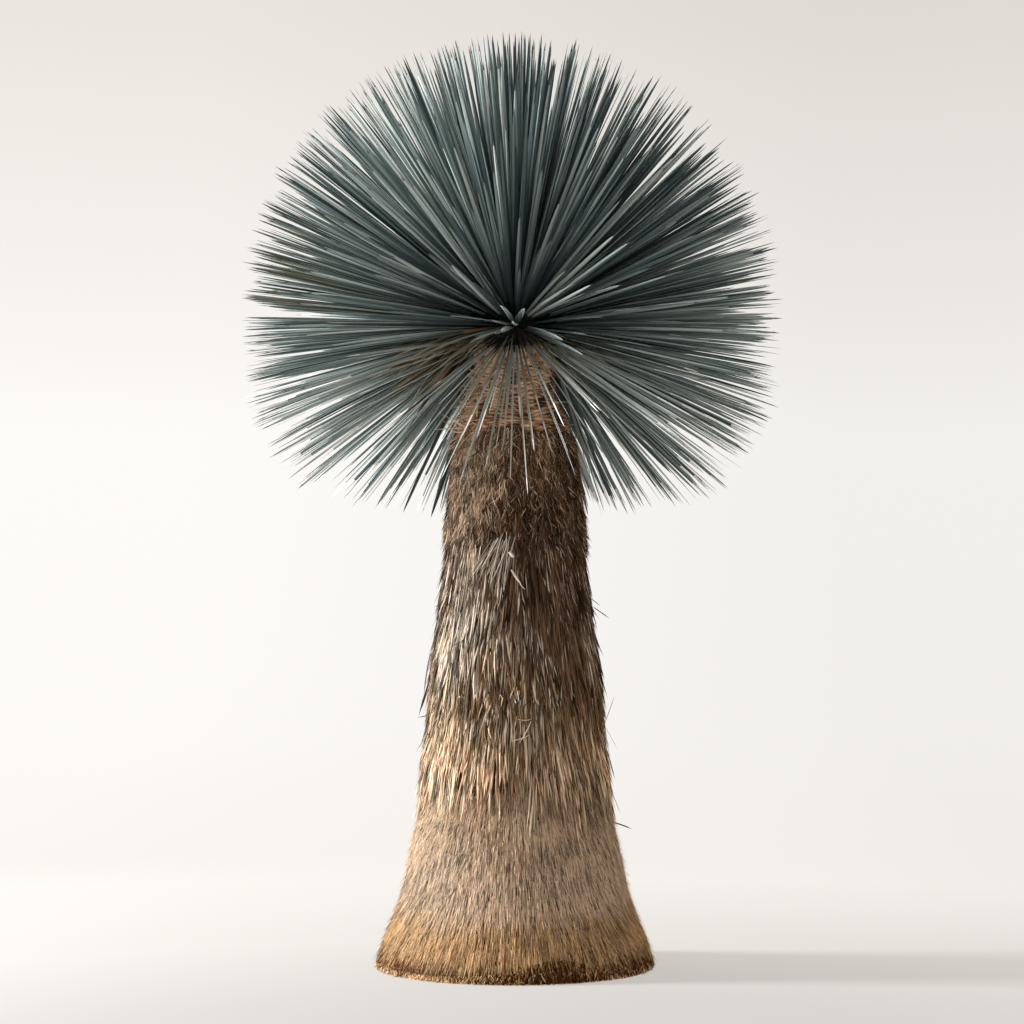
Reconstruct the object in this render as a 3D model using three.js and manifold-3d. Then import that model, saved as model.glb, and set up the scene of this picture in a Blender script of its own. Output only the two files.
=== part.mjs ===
// Beaked yucca, rooted in the ground: one stout trunk with a flared foot, four shingled tiers of
// hanging dead-leaf thatch, a bare neck ringed with leaf scars, and a round head of stiff, narrow leaves.
// Millimetres, +Z up, origin at the centre of the flat cut at ground level, front of the plant towards -Y.
import * as THREE from "three";
import { mergeVertices } from "three/addons/utils/BufferGeometryUtils.js";
import Module from "manifold-3d";

const wasm = await Module();
wasm.setup();

// Driving dimensions of the whole plant
const CROWN_RADIUS = 590; // sphere that the leaf tips reach
const CROWN_CENTRE_Z = 1455;
const LEAF_FOCUS_Z = 1408; // the point that the leaves radiate from
const CLEARANCE = 0.3; // gap between neighbouring solids

// Trunk and thatch: the thatch is the outline that shows, and the wood runs up inside it
const SHOULDER_Z = 1135; // where the thatch starts to close in on the neck
const FOOT_RADIUS = 245; // thatch outline at ground level, without the flare
const SHOULDER_RADIUS = 136;
const FLARE = 58; // extra radius of the root flare at ground level
const FLARE_HEIGHT = 150;
const THATCH_DEPTH_FOOT = 24;
const THATCH_DEPTH_SHOULDER = 48;
const NECK_RADIUS = 88;
const NECK_TOP_Z = 1326;
const SCAR_RINGS = 4; // ring-shaped leaf scars on the bare neck
const SCAR_DEPTH = 3;
const TRUNK_SIDES = 24;
const TRUNK_LEVELS = [0, 80, 160, 260, 400, SHOULDER_Z]; // straight-sided between these

// Head: the rounded tip of the trunk, and the sheath of leaf bases that wraps it
const HEAD_RADIUS = 84;
const HEAD_BASE_Z = 1395;
const HEAD_HEIGHT = 80;
const COLLAR_LENGTH = 65; // the lowest leaves stand on this length of neck below the dome
const COLLAR_SLANT = 1.5; // the sheath slopes down as it goes out, like the drooping leaves
const SHEATH_THICKNESS = 16;
const SHEATH_ROWS = 2;
const LEAF_ROOT_OFFSET = 7; // how far outside the trunk a leaf's root lies, inside the sheath

// Leaves: rows of leaves by angle from straight up, shared out to six sectors
const SECTORS = 6;
const FRONT_SECTOR = 4; // the sector that faces -Y
const ROW_STEP = 9; // degrees between rows, and between leaves of a row
const ROW_STAGGER = 0.1; // sideways shift of every other row, as a share of the leaf spacing
const SIDE_SCATTER = 0.14; // the same for single leaves
const ANGLE_SCATTER = 0.18; // up or down, as a share of the row step
const DOME_ANGLE = 100; // leaves up to this angle stand on the dome, the rest on the collar
const LEAF = { rootHalfWidth: 3.8, halfWidth: 9, thickness: 5.8 };
const LEAF_WIDEST_AT = 0.55; // share of the leaf's length
const LEAF_SHORTEST = 0.92; // shortest leaf of a row, as a share of the full reach
const SKIRT_SHORTFALL = 90; // the drooping leaves end this much inside the crown's sphere
const SKIRT_SHORT_FROM = 125;
const SKIRT_SHORT_TO = 160;
const FRONT_SHARE = 0.45; // share of the front skirt's leaves that is left, so that the neck shows
const BANDS = [
  { name: "upper", from: 20, to: 56 },
  { name: "middle", from: 56, to: 92 },
  { name: "lower", from: 92, to: 119 },
  { name: "skirt", from: 119, to: 155 },
];
const SPEAR_ROWS = [
  { angle: 0, count: 1 },
  { angle: 8, count: 5 },
  { angle: 15, count: 8 },
];

// Thatch tiers, each a sleeve of hanging dead leaves whose hem covers the top of the tier below
const THATCH_TIERS = [
  { name: "thatch_foot", hem: 8, top: 398, bends: [0.05, 0.15, 0.3, 0.5], strips: 24, tooth: 4, tips: 0 },
  { name: "thatch_lower", hem: 372, top: 634, bends: [], strips: 20, tooth: 20, tips: 12 },
  { name: "thatch_middle", hem: 604, top: 968, bends: [], strips: 18, tooth: 24, tips: 14 },
  { name: "thatch_upper", hem: 938, top: 1238, bends: [0.65, 0.83], strips: 16, tooth: 20, tips: 10 },
];
const THATCH_COLOURS = [0xa9855c, 0x9c7b55, 0x75634f, 0x5a4535];
const HEM_PROUD = 5; // how far a hem stands out of the trunk's outline
const TOP_TUCK = 8; // how far a tier's top lies inside it, under the next hem
const HEM_THICKNESS = 5;
const HEM_HANG = 46; // height over which a hem hangs clear of the tier below
const FOOT_ROUNDING = 10; // the lowest hem curls in to the ground by this much
const STRIP_RIDGE = 1.8;
const DEAD_LEAF = { rootHalfWidth: 2.5, halfWidth: 5, thickness: 3 };
const DEAD_LEAF_LENGTH = 150;
const DEAD_LEAF_SINK = 7;
const DEAD_LEAF_LEAN = 17; // degrees off the plumb line

const { degToRad, radToDeg, lerp, smoothstep, clamp } = THREE.MathUtils;

// A repeatable chance from 0 to 1 for a numbered thing.
function chance(first, second, salt) {
  const wave = Math.sin(first * 12.9898 + second * 78.233 + salt * 37.719) * 43758.5453;
  return wave - Math.floor(wave);
}

// The same, from -1 to 1.
function scatter(first, second, salt) {
  return 2 * chance(first, second, salt) - 1;
}

// A closed geometry as a solid, with its shared corners merged and its collapsed faces dropped.
function solidFrom(geometry) {
  const bare = new THREE.BufferGeometry().setAttribute("position", geometry.getAttribute("position"));
  bare.setIndex(geometry.getIndex());
  const merged = mergeVertices(bare, 1e-3);
  const corners = merged.getIndex().array;
  const triVerts = [];
  for (let i = 0; i < corners.length; i += 3) {
    const [a, b, c] = corners.slice(i, i + 3);
    if (a !== b && b !== c && c !== a) triVerts.push(a, b, c);
  }
  return new wasm.Manifold(
    new wasm.Mesh({
      numProp: 3,
      vertProperties: merged.getAttribute("position").array,
      triVerts: new Uint32Array(triVerts),
    }),
  );
}

function geometryFrom(solid) {
  const mesh = solid.getMesh();
  return new THREE.BufferGeometry()
    .setAttribute("position", new THREE.BufferAttribute(mesh.vertProperties, 3))
    .setIndex(new THREE.BufferAttribute(mesh.triVerts, 1));
}

// A named mesh with a plain matt finish.
function namedMesh(name, geometry, colour) {
  const material = new THREE.MeshStandardMaterial({ color: colour, roughness: 0.85, metalness: 0 });
  const mesh = new THREE.Mesh(geometry, material);
  mesh.name = name;
  return mesh;
}

// Moves each corner of a geometry by a rule.
function reshape(geometry, rule) {
  const position = geometry.getAttribute("position");
  const corner = new THREE.Vector3();
  for (let i = 0; i < position.count; i++) {
    corner.fromBufferAttribute(position, i);
    const moved = rule(corner, i);
    position.setXYZ(i, moved.x, moved.y, moved.z);
  }
  return geometry;
}

// A point at a radius, an azimuth from +X in degrees, and a height.
function around(radius, azimuth, z) {
  const turn = degToRad(azimuth);
  return new THREE.Vector3(radius * Math.cos(turn), radius * Math.sin(turn), z);
}

// A lathe turned about +Z, from outline points [radius, z]. Its own axis is +Y, so it is stood up.
function latheUp(points, sides) {
  const outline = points.map(([radius, z]) => new THREE.Vector2(radius, z));
  return new THREE.LatheGeometry(outline, sides).rotateX(Math.PI / 2);
}

// Outline of the thatch, with the root flare.
function thatchRadius(z) {
  const taper = lerp(FOOT_RADIUS, SHOULDER_RADIUS, Math.min(z / SHOULDER_Z, 1));
  const flare = FLARE * Math.exp(-((z / FLARE_HEIGHT) ** 2));
  const shoulder = Math.max(0, (z - SHOULDER_Z) / (NECK_TOP_Z - SHOULDER_Z));
  return taper + flare - (SHOULDER_RADIUS - NECK_RADIUS) * Math.min(1, 1.9 * shoulder ** 1.4);
}

// Outline of the wood inside the thatch.
function trunkRadius(z) {
  const depth = lerp(THATCH_DEPTH_FOOT, THATCH_DEPTH_SHOULDER, Math.min(z / SHOULDER_Z, 1));
  return Math.max(NECK_RADIUS, thatchRadius(Math.min(z, SHOULDER_Z)) - depth);
}

// A point on the head's outline, [radius, z], for a leaf angle and a distance outside the trunk.
function headOutline(angle, offset) {
  if (angle > DOME_ANGLE) {
    const down = (angle - DOME_ANGLE) / (BANDS.at(-1).to - DOME_ANGLE);
    return [HEAD_RADIUS + offset, HEAD_BASE_Z - (COLLAR_LENGTH + COLLAR_SLANT * offset) * down];
  }
  const turn = (angle / DOME_ANGLE) * (Math.PI / 2);
  return [(HEAD_RADIUS + offset) * Math.sin(turn), HEAD_BASE_Z + (HEAD_HEIGHT + offset) * Math.cos(turn)];
}

function makeTrunk() {
  const outline = [
    [0, 0],
    [trunkRadius(0), 0],
  ];
  for (const z of TRUNK_LEVELS.slice(1)) outline.push([trunkRadius(z), z]);
  const ringStep = (NECK_TOP_Z - SHOULDER_Z) / (2 * SCAR_RINGS);
  for (let ring = 1; ring < 2 * SCAR_RINGS; ring++) {
    outline.push([NECK_RADIUS - (ring % 2 ? SCAR_DEPTH : 0), SHOULDER_Z + ring * ringStep]);
  }
  outline.push([HEAD_RADIUS, NECK_TOP_Z]);
  const stations = BANDS.toReversed().flatMap((band) => [band.to, (band.from + band.to) / 2]);
  for (const angle of [...stations, BANDS[0].from]) outline.push(headOutline(angle, 0));
  outline.push(headOutline(0, 0));
  return namedMesh("trunk", latheUp(outline, TRUNK_SIDES), 0x6f4f35);
}

// The cross-section of one tier of thatch: out at the hem, up the ridged outside, and down the inside.
function thatchOutline(tier, sides) {
  const onGround = tier === THATCH_TIERS[0];
  const outer = (z) => thatchRadius(z) + thatchLean(tier, z);
  const inner = (z) => (trunkRadius(z) + CLEARANCE) / Math.cos(Math.PI / sides);
  const outside = [0, ...tier.bends, 1].map((share) => {
    const z = lerp(tier.hem, tier.top, share);
    const curl = onGround && share === 0 ? FOOT_ROUNDING : 0;
    return { radius: outer(z) - curl, z, ridged: share < 1, onHem: share === 0 };
  });
  const seat = onGround ? 0 : tier.hem + HEM_HANG;
  const inside = TRUNK_LEVELS.filter((z) => z > seat && z < tier.top).map((z) => ({ radius: inner(z), z }));
  const top = { radius: inner(tier.top), z: tier.top };
  const bottom = { radius: inner(seat), z: Math.max(seat, tier.hem), onHem: onGround };
  const outline = [...outside, top, ...inside.toReversed(), bottom];
  if (!onGround) {
    outline.push({ radius: outer(seat) - HEM_THICKNESS, z: seat - 4 });
    outline.push({ radius: outer(tier.hem) - HEM_THICKNESS, z: tier.hem, ridged: true, onHem: true });
  }
  return [...outline, outline[0]];
}

// How far a tier stands out of the trunk's outline at a height: proud at its hem, tucked in at its top.
function thatchLean(tier, z) {
  const tuck = tier === THATCH_TIERS.at(-1) ? 0 : TOP_TUCK;
  return lerp(HEM_PROUD, -tuck, (z - tier.hem) / (tier.top - tier.hem));
}

// One sleeve of thatch: ridged strips round the trunk, a ragged hem, and a few dead leaves that stand off it.
function makeThatch(tier, tierNumber) {
  const sides = 2 * tier.strips;
  const outline = thatchOutline(tier, sides);
  const sleeve = latheUp(
    outline.map(({ radius, z }) => [radius, z]),
    sides,
  );
  reshape(sleeve, (corner, i) => {
    const { radius, z, ridged, onHem } = outline[i % outline.length];
    const side = Math.floor(i / outline.length) % sides;
    const onRidge = side % 2 === 1;
    const drop = onHem && onRidge ? tier.tooth * (0.6 + 0.4 * scatter(tierNumber, side, 1)) : 0;
    const ridge = ridged ? STRIP_RIDGE * (onRidge ? 1 : -1) : 0;
    const spread = thatchRadius(z - drop) - thatchRadius(z);
    const stretch = (radius + ridge + spread) / radius;
    return corner.set(corner.x * stretch, corner.y * stretch, z - drop);
  });

  let solid = solidFrom(sleeve);
  for (let tip = 0; tip < tier.tips; tip++) {
    const azimuth = (360 * (tip + 0.5 + 0.3 * scatter(tierNumber, tip, 2))) / tier.tips;
    const rootZ = lerp(tier.hem + 70, tier.top - 70, chance(tierNumber, tip, 3));
    const length = DEAD_LEAF_LENGTH * (1 + 0.3 * scatter(tierNumber, tip, 4));
    const lean = degToRad(DEAD_LEAF_LEAN + 4 * scatter(tierNumber, tip, 5));
    const radius = thatchRadius(rootZ) + thatchLean(tier, rootZ) - DEAD_LEAF_SINK;
    const root = around(radius, azimuth, rootZ);
    const end = around(radius + length * Math.sin(lean), azimuth, rootZ - length * Math.cos(lean));
    solid = solid.add(solidFrom(makeBlade(root, end, DEAD_LEAF)));
  }
  return namedMesh(tier.name, geometryFrom(solid), THATCH_COLOURS[tierNumber]);
}

// A keeled blade from a root to a tip: three-sided, widest part-way along, with the keel underneath.
function makeBlade(root, tip, { rootHalfWidth, halfWidth, thickness }) {
  const along = tip.clone().sub(root);
  const length = along.length();
  const outline = [
    [0, 0],
    [rootHalfWidth / halfWidth, 0],
    [1, LEAF_WIDEST_AT * length],
    [0, length],
  ];
  const blade = latheUp(outline, 3);
  // A three-sided lathe of radius 1 is the square root of 3 across and 1.5 deep.
  blade.scale((2 * halfWidth) / Math.sqrt(3), thickness / 1.5, 1);
  const ahead = along.normalize();
  const onAxis = root.x === 0 && root.y === 0;
  const side = onAxis ? new THREE.Vector3(0, 1, 0) : new THREE.Vector3(-root.y, root.x, 0).normalize();
  const up = new THREE.Vector3().crossVectors(ahead, side);
  const frame = new THREE.Matrix4().makeBasis(side, up, ahead).setPosition(root);
  return blade.applyMatrix4(frame);
}

// How far the crown reaches from the leaf focus, in the direction of a leaf angle.
function crownReach(angle) {
  const rise = CROWN_CENTRE_Z - LEAF_FOCUS_Z;
  const alongRise = rise * Math.cos(degToRad(angle));
  const sphere = alongRise + Math.sqrt(alongRise ** 2 + CROWN_RADIUS ** 2 - rise ** 2);
  return sphere - SKIRT_SHORTFALL * smoothstep(angle, SKIRT_SHORT_FROM, SKIRT_SHORT_TO);
}

// One leaf from its root in the sheath to its tip at the crown's outline.
function makeLeaf(angle, azimuth, share) {
  const [rootRadius, rootZ] = headOutline(angle, LEAF_ROOT_OFFSET);
  const reach = crownReach(angle) * share;
  const tipRadius = reach * Math.sin(degToRad(angle));
  const tip = around(tipRadius, azimuth, LEAF_FOCUS_Z + reach * Math.cos(degToRad(angle)));
  const root = around(rootRadius, azimuth, rootZ);
  return makeBlade(root, tip, LEAF);
}

// A piece of the sheath of leaf bases: a curved plate over one band of leaf angles and one sector.
function makeSheath(band, sector) {
  const columns = TRUNK_SIDES / SECTORS;
  const plate = new THREE.BoxGeometry(1, 1, 1, SHEATH_ROWS, columns, 1);
  return reshape(plate, (corner) => {
    const offset = corner.z > 0 ? SHEATH_THICKNESS : CLEARANCE;
    const trimAngle = radToDeg(CLEARANCE / HEAD_RADIUS) * 2 * corner.x;
    const [radius, z] = headOutline(lerp(band.from, band.to, corner.x + 0.5) - trimAngle, offset);
    const trimAzimuth = radToDeg(CLEARANCE / radius) * 2 * corner.y;
    return around(radius, ((sector + corner.y + 0.5) * 360) / SECTORS - trimAzimuth, z);
  });
}

// One mass of leaves: the rows of one band within one sector, fused to their piece of the sheath.
function makeLeafMass(band, bandNumber, sector) {
  let solid = solidFrom(makeSheath(band, sector));
  const rows = Math.round((band.to - band.from) / ROW_STEP);
  const sectorWidth = 360 / SECTORS;
  const thinned = band.name === "skirt" && sector === FRONT_SECTOR;
  for (let row = 0; row < rows; row++) {
    const rowAngle = band.from + ROW_STEP * (row + 0.5);
    const perSector = Math.max(1, Math.round((360 * Math.sin(degToRad(rowAngle))) / ROW_STEP / SECTORS));
    const stagger = row % 2 ? ROW_STAGGER : -ROW_STAGGER;
    for (let leaf = 0; leaf < perSector; leaf++) {
      const number = 1000 * bandNumber + 100 * row + leaf;
      if (thinned && chance(number, sector, 4) > FRONT_SHARE) continue;
      const angle = rowAngle + ANGLE_SCATTER * ROW_STEP * scatter(number, sector, 1);
      const [rootRadius] = headOutline(angle, LEAF_ROOT_OFFSET);
      const margin = radToDeg((LEAF.rootHalfWidth + CLEARANCE) / rootRadius);
      const place = (leaf + 0.5 + stagger + SIDE_SCATTER * scatter(number, sector, 2)) / perSector;
      const inSector = clamp(place * sectorWidth, margin, sectorWidth - margin);
      const share = lerp(LEAF_SHORTEST, 1, chance(number, sector, 3));
      solid = solid.add(solidFrom(makeLeaf(angle, sector * sectorWidth + inSector, share)));
    }
  }
  return namedMesh(`leaves_${band.name}_${sector + 1}`, geometryFrom(solid), 0x5c6b69);
}

// The young upright leaves at the growing tip, on a cap of the sheath.
function makeSpears() {
  const rim = BANDS[0].from - 0.3;
  const angles = [0, rim / 2, rim];
  const under = angles.map((angle) => headOutline(angle, CLEARANCE));
  const over = angles.map((angle) => headOutline(angle, SHEATH_THICKNESS));
  let solid = solidFrom(latheUp([...under, ...over.toReversed()], TRUNK_SIDES));
  for (const { angle, count } of SPEAR_ROWS) {
    for (let leaf = 0; leaf < count; leaf++) {
      const azimuth = (360 * (leaf + 0.2 * scatter(angle, leaf, 2))) / count;
      const share = angle ? lerp(LEAF_SHORTEST, 1, chance(angle, leaf, 3)) : 1;
      solid = solid.add(solidFrom(makeLeaf(angle, azimuth, share)));
    }
  }
  return namedMesh("leaves_spear", geometryFrom(solid), 0x6f7f7c);
}

const yucca = new THREE.Group();
yucca.add(makeTrunk());
THATCH_TIERS.forEach((tier, number) => yucca.add(makeThatch(tier, number)));
yucca.add(makeSpears());
BANDS.forEach((band, bandNumber) => {
  for (let sector = 0; sector < SECTORS; sector++) yucca.add(makeLeafMass(band, bandNumber, sector));
});

export default yucca;
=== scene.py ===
"""Looks of a beaked yucca: leaf blades, dead-leaf thatch and bark round its solids, in a pale studio."""
import math

import bpy
import numpy as np
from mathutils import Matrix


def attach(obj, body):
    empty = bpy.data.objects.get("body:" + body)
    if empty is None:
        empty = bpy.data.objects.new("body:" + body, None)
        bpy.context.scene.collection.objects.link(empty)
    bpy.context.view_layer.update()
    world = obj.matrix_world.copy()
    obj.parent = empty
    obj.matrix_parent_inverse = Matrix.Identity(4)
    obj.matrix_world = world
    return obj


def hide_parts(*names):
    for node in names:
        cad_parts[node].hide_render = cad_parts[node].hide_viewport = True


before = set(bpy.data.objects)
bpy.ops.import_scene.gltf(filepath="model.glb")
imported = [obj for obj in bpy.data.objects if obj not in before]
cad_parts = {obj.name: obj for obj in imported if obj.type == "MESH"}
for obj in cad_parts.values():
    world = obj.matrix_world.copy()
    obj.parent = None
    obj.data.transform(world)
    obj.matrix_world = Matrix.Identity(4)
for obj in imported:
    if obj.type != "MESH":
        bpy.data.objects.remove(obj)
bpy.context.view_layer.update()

TAU = 2 * math.pi
FRONT = -math.pi / 2  # azimuth of the side that faces the photo's camera
UP = np.array([0, 0, 1])

# Sizes of the plant, in metres, as in the solids
CROWN_RADIUS = 0.590  # sphere that the leaf tips reach
CROWN_CENTRE_Z = 1.455
CROWN_LEAN = -0.008  # sideways, to the left of the photo
LEAF_FOCUS_Z = 1.408  # the point that the leaves radiate from
SHOULDER_Z = 1.135  # where the thatch starts to close in on the neck
FOOT_RADIUS = 0.245
SHOULDER_RADIUS = 0.136
FLARE = 0.058
FLARE_HEIGHT = 0.150
NECK_RADIUS = 0.088
NECK_TOP_Z = 1.326
HEAD_RADIUS = 0.084
HEAD_BASE_Z = 1.395
HEAD_HEIGHT = 0.080
COLLAR_LENGTH = 0.065
COLLAR_SLANT = 1.5
HEM_PROUD = 0.005
TOP_TUCK = 0.008

# Leaves, by the rule of the solids but in finer rows; angles are in degrees from straight up
SECTORS = 6
DOME_ANGLE = 100
SKIRT_END = 155
SKIRT_SHORTFALL = 0.090
SKIRT_SHORT_FROM = 125
SKIRT_SHORT_TO = 160
LEAF_ROOT_OFFSET = 0.007
LEAF_LONGEST = 1.018  # share of the crown's reach, which makes up for the fineness of the tips
LEAF_SHORTFALL = 0.065
LEAF_LOWER_EXTRA = 0.056  # the leaves just below the level reach a little further
LEAF_HALF_WIDTH = 0.0056
LEAF_STATIONS = np.array([0.0, 0.10, 0.40, 0.75, 0.90, 0.965])
LEAF_WIDTHS = np.array([0.75, 1.00, 1.05, 0.80, 0.56, 0.30])
LEAF_BANDS = [  # name, smallest and largest angle, and step between rows
    ("spear", 0, 20, 3.4),
    ("upper", 20, 56, 3.4),
    ("middle", 56, 92, 3.4),
    ("lower", 92, 119, 3.4),
    ("skirt", 119, 155, 4.4),
]
FRONT_SHARE = 0.24  # share of the leaves that is left where they point straight to the front
LOWER_FRONT_SHARE = 0.5  # and where they point to the front and down
SKIRT_SHARE = 0.45  # share of the leaves that is left at the lowest angle
OPEN_SHARE = 0.78  # and where the crown is more open, to the upper right
OPEN_HEADING = (0.75, 0.0, 0.66)
LIT_HEADING = (-0.62, -0.40, 0.67)  # most leaves that point this way get paler tints, painted light where they face the light
SHADE_HEADING = (0.22, -0.20, 0.955)  # and these get darker ones, painted shade
OLIVE_HEADING = (-1.0, -0.3, 0.20)  # half the leaves that point this way are olive
OLD_SHARE = 0.28  # share of narrow, bleached leaves among the hanging ones
NECK_LEVELS = np.linspace(1.17, 1.335, 8)  # heights at which the neck's front is kept clear of broad leaves
NECK_MARGINS = (0.028, 0.004)  # how far beside the neck it is clear too, on the left and on the right
# Where dead leaves show beside the neck: x, lowest and highest z, and the share of leaves left before them
SIDE_WINDOWS = [(-0.18, 1.28, 1.385, 0.55), (0.20, 1.29, 1.35, 0.55)]
HANGING_LEAVES = 58  # narrow leaves that hang in a fan before and beside the neck
FACING_TIPS = [(-0.031, 1.424), (0.018, 1.418), (-0.003, 1.389), (-0.046, 1.393)]  # x and z
FACING_REACH = 0.5  # how far to the front their tips are
BUNCHING = 0.011  # how far, in radians, the leaves at the sides are drawn together, seen from the front
# A blade's cross-section, from its right edge over the top: edge, margin, midrib, margin, edge, keel
LEAF_SECTION = np.array([(1, 1), (0.80, 0.78), (0, 0), (-0.80, 0.78), (-1, 1), (0, -0.55)])
LEAF_GUTTER = 0.28  # depth of a blade's gutter, as a share of its half width

# Thatch tiers, each a sleeve of hanging dead leaves whose hem covers the top of the tier below. The spread is
# in degrees, and a lock, given by its width and rise, is a group of strips that hang together.
SPIKE = np.array([0.0])  # stations along a strip, before its tip
FINE = np.array([0.0, 0.5])
COARSE = np.array([0.0, 0.35, 0.72])
THATCH_TIERS = [
    dict(
        name="thatch_foot", zones=("hem", "straw", "beige", "buff"), pieces=2, count=64000,
        hem=0.002, ragged=0.0, wander=0.0, top=0.398, swell=0.012,
        stations=SPIKE, length=0.024, half_width=0.0009, spread=2.5, curl=0,
        lift=0.0030, fuzz=0.012, lock=(0.007, 0.024), clump=0.5, contrast=1.2,
    ),
    dict(
        name="thatch_lower", zones=("buff", "tan", "ash"), pieces=1, count=8500,
        hem=0.425, ragged=0.130, wander=0.022, top=0.634, swell=0.0,
        stations=COARSE, length=0.110, half_width=0.0019, spread=5, curl=0.002,
        lift=0.0040, fuzz=0.010, lock=(0.020, 0.060), clump=0.7, contrast=1.25,
    ),
    dict(
        name="thatch_middle", zones=("tan", "ash", "umber"), pieces=1, count=11500,
        hem=0.612, ragged=0.120, wander=0.018, top=0.968, swell=0.0,
        stations=COARSE, length=0.120, half_width=0.0018, spread=6, curl=0.002,
        lift=0.0038, fuzz=0.010, lock=(0.020, 0.070), clump=0.8, contrast=1.6,
    ),
    dict(
        name="thatch_upper", zones=("umber", "brown", "rust"), pieces=1, count=16000,
        hem=0.938, ragged=0.050, wander=0.008, top=1.168, swell=0.0,
        stations=FINE, length=0.040, half_width=0.0010, spread=15, curl=0.006,
        lift=0.0032, fuzz=0.012, lock=(0.014, 0.028), clump=1.1, contrast=1.9,
    ),
]
STRIP_SECTION = np.array([(1, 0), (0, 1), (-1, 0)])
STRIP_FLATNESS = 0.4
PITS = 150  # small dark holes in the thatch
PIT_RADIUS = 0.006
SUN_SIDE_DARKER = 1.2  # steps of tone by which strips are darker where the light falls straight on them

# How many loose dry pieces there are
HEM_FIBRES = 4800
FRINGE_FIBRES = 1800
FRINGE_CURLS = 400
TANGLE_FIBRES = 3200
DEAD_LEAVES = [260, 170, 12]  # all round, in a mat on the left and on a shelf on the right
STRAYS = 110
LAPPET_STRIPS = 520
TUFT_STRIPS = 34

# Loose strips seen against the sky at the sides of the trunk: x and z of both ends, and half width, in metres
SIDE_STRAYS = [
    (-0.150, 0.801, -0.178, 0.790, 0.0009),
    (-0.176, 0.660, -0.211, 0.563, 0.0036),
    (-0.186, 0.690, -0.205, 0.600, 0.0022),
    (-0.190, 0.516, -0.220, 0.471, 0.0024),
    (0.164, 0.812, 0.187, 0.796, 0.0009),
    (0.172, 0.791, 0.207, 0.768, 0.0015),
    (0.178, 0.655, 0.200, 0.616, 0.0016),
    (0.194, 0.530, 0.222, 0.598, 0.0013),
    (0.195, 0.534, 0.224, 0.480, 0.0018),
    (0.203, 0.475, 0.220, 0.409, 0.0017),
    (0.212, 0.390, 0.231, 0.332, 0.0015),
    (0.213, 0.320, 0.260, 0.307, 0.0015),
    (0.232, 0.240, 0.249, 0.222, 0.0006),
    (0.236, 0.215, 0.252, 0.199, 0.0006),
]
# Pale curls on the front of the trunk: x and z of both ends, and half width
FRONT_CURLS = [
    (-0.013, 0.914, 0.004, 0.897, 0.0034),
    (-0.008, 0.876, 0.012, 0.840, 0.0032),
    (0.010, 0.846, 0.026, 0.824, 0.0012),
    (0.006, 0.556, 0.038, 0.546, 0.0015),
    (0.034, 0.552, 0.024, 0.516, 0.0008),
    (0.030, 0.522, -0.008, 0.503, 0.0014),
]
# A fan of grey strips on the front: x and z where its outermost strips start, and where they end
TUFT_ROOT = ((-0.046, 0.936), (-0.012, 0.950))
TUFT_ENDS = ((-0.102, 0.870), (-0.020, 0.826))

# The trunk's mesh, with broken ridges between the leaf scars on its neck
TRUNK_SIDES = 160
BED_ROWS = 50
NECK_ROWS = 130
HEAD_ROWS = 40
BED_DEPTH = 0.013  # how far the bark lies inside the thatch's outline
RING_PITCH = 0.0075
RING_RELIEF = 0.0042

# Colours as seen on a screen, 0 to 255
# Leaf tints from dark to light; which one a blade gets depends partly on where it points, as painted light
# and shade
LEAF_TINTS = [(50, 63, 64), (74, 89, 89), (98, 113, 112), (122, 136, 134), (148, 160, 157), (184, 191, 187)]
LEAF_TINT_SHARES = [0.18, 0.22, 0.22, 0.19, 0.13, 0.06]
LEAF_OLIVE = (96, 96, 76)
LEAF_DRY = (162, 158, 148)
LEAF_MARGIN = (200, 205, 199)
LEAF_TIP = (80, 86, 82)
# The pale tip is partly bleached and partly painted light, where low leaves catch the light
LEAF_TIP_PALE = (238, 238, 232)
# Numbers of the leaf materials that come after the tints
OLIVE, DRY, MARGIN, TIP, TIP_PALE = range(len(LEAF_TINTS), len(LEAF_TINTS) + 5)
ZONES = {  # height of the zone's middle, and its colours where it is weathered and where it is fresh, which are also painted light and shade
    # The hem is dark red-brown, and its dark partly stands for painted shade where the foot meets the ground
    "hem": (-0.006, (108, 66, 36), (80, 46, 24)),
    "straw": (0.040, (208, 174, 132), (202, 163, 118)),
    "beige": (0.200, (228, 205, 178), (226, 196, 166)),
    "buff": (0.345, (228, 203, 173), (192, 160, 130)),
    "tan": (0.480, (192, 168, 139), (118, 92, 69)),
    "ash": (0.690, (171, 159, 144), (92, 72, 56)),
    "umber": (0.890, (140, 123, 107), (80, 61, 46)),
    "brown": (0.995, (166, 142, 118), (92, 70, 53)),
    # Rust's weathered colour is near white, partly painted light on the left where the crown shades the trunk
    "rust": (1.100, (242, 208, 176), (118, 89, 65)),
    "olive": (1.330, (136, 131, 114), (88, 83, 68)),
}
ZONE = {name: number for number, name in enumerate(ZONES)}
SHADES = [0.28, 0.75, 1.15, 1.65]  # each zone has strips from dark to light; the darkest also stand in for shaded gaps, painted shade
SHADE_EDGES = [-0.9, 0.0, 0.9]  # tones at which one shade gives way to the next
WHITEST = 0.80
GREY_PATCH = {"azimuth": FRONT + 0.16, "z": 0.320, "wide": 0.24, "high": 0.035}  # on the front of the foot
# The darkest bark tones show on the bed and the head, partly painted shade in the gaps between strips and
# under the crown
BARK_TONES = [(0.30, (26, 18, 13)), (0.55, (66, 45, 31)), (0.78, (160, 116, 82)), (1.0, (224, 184, 146))]
BARK_STRETCH = (32, 32, 190)  # its grain lies along the rings
LEAF_FINISH = {"roughness": 0.48, "specular": 0.4, "bump_scale": 180, "bump_strength": 0.25}
THATCH_FINISH = {"roughness": 0.8, "specular": 0.0, "bump_scale": 220, "bump_strength": 0.3}

# A round studio of pale paper, in metres, with a wide enough wall for a camera on any side
STUDIO_FLOOR = 7.2
STUDIO_BEND = 2.8
STUDIO_HEIGHT = 7.0
STUDIO_SIDES = 64
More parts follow.
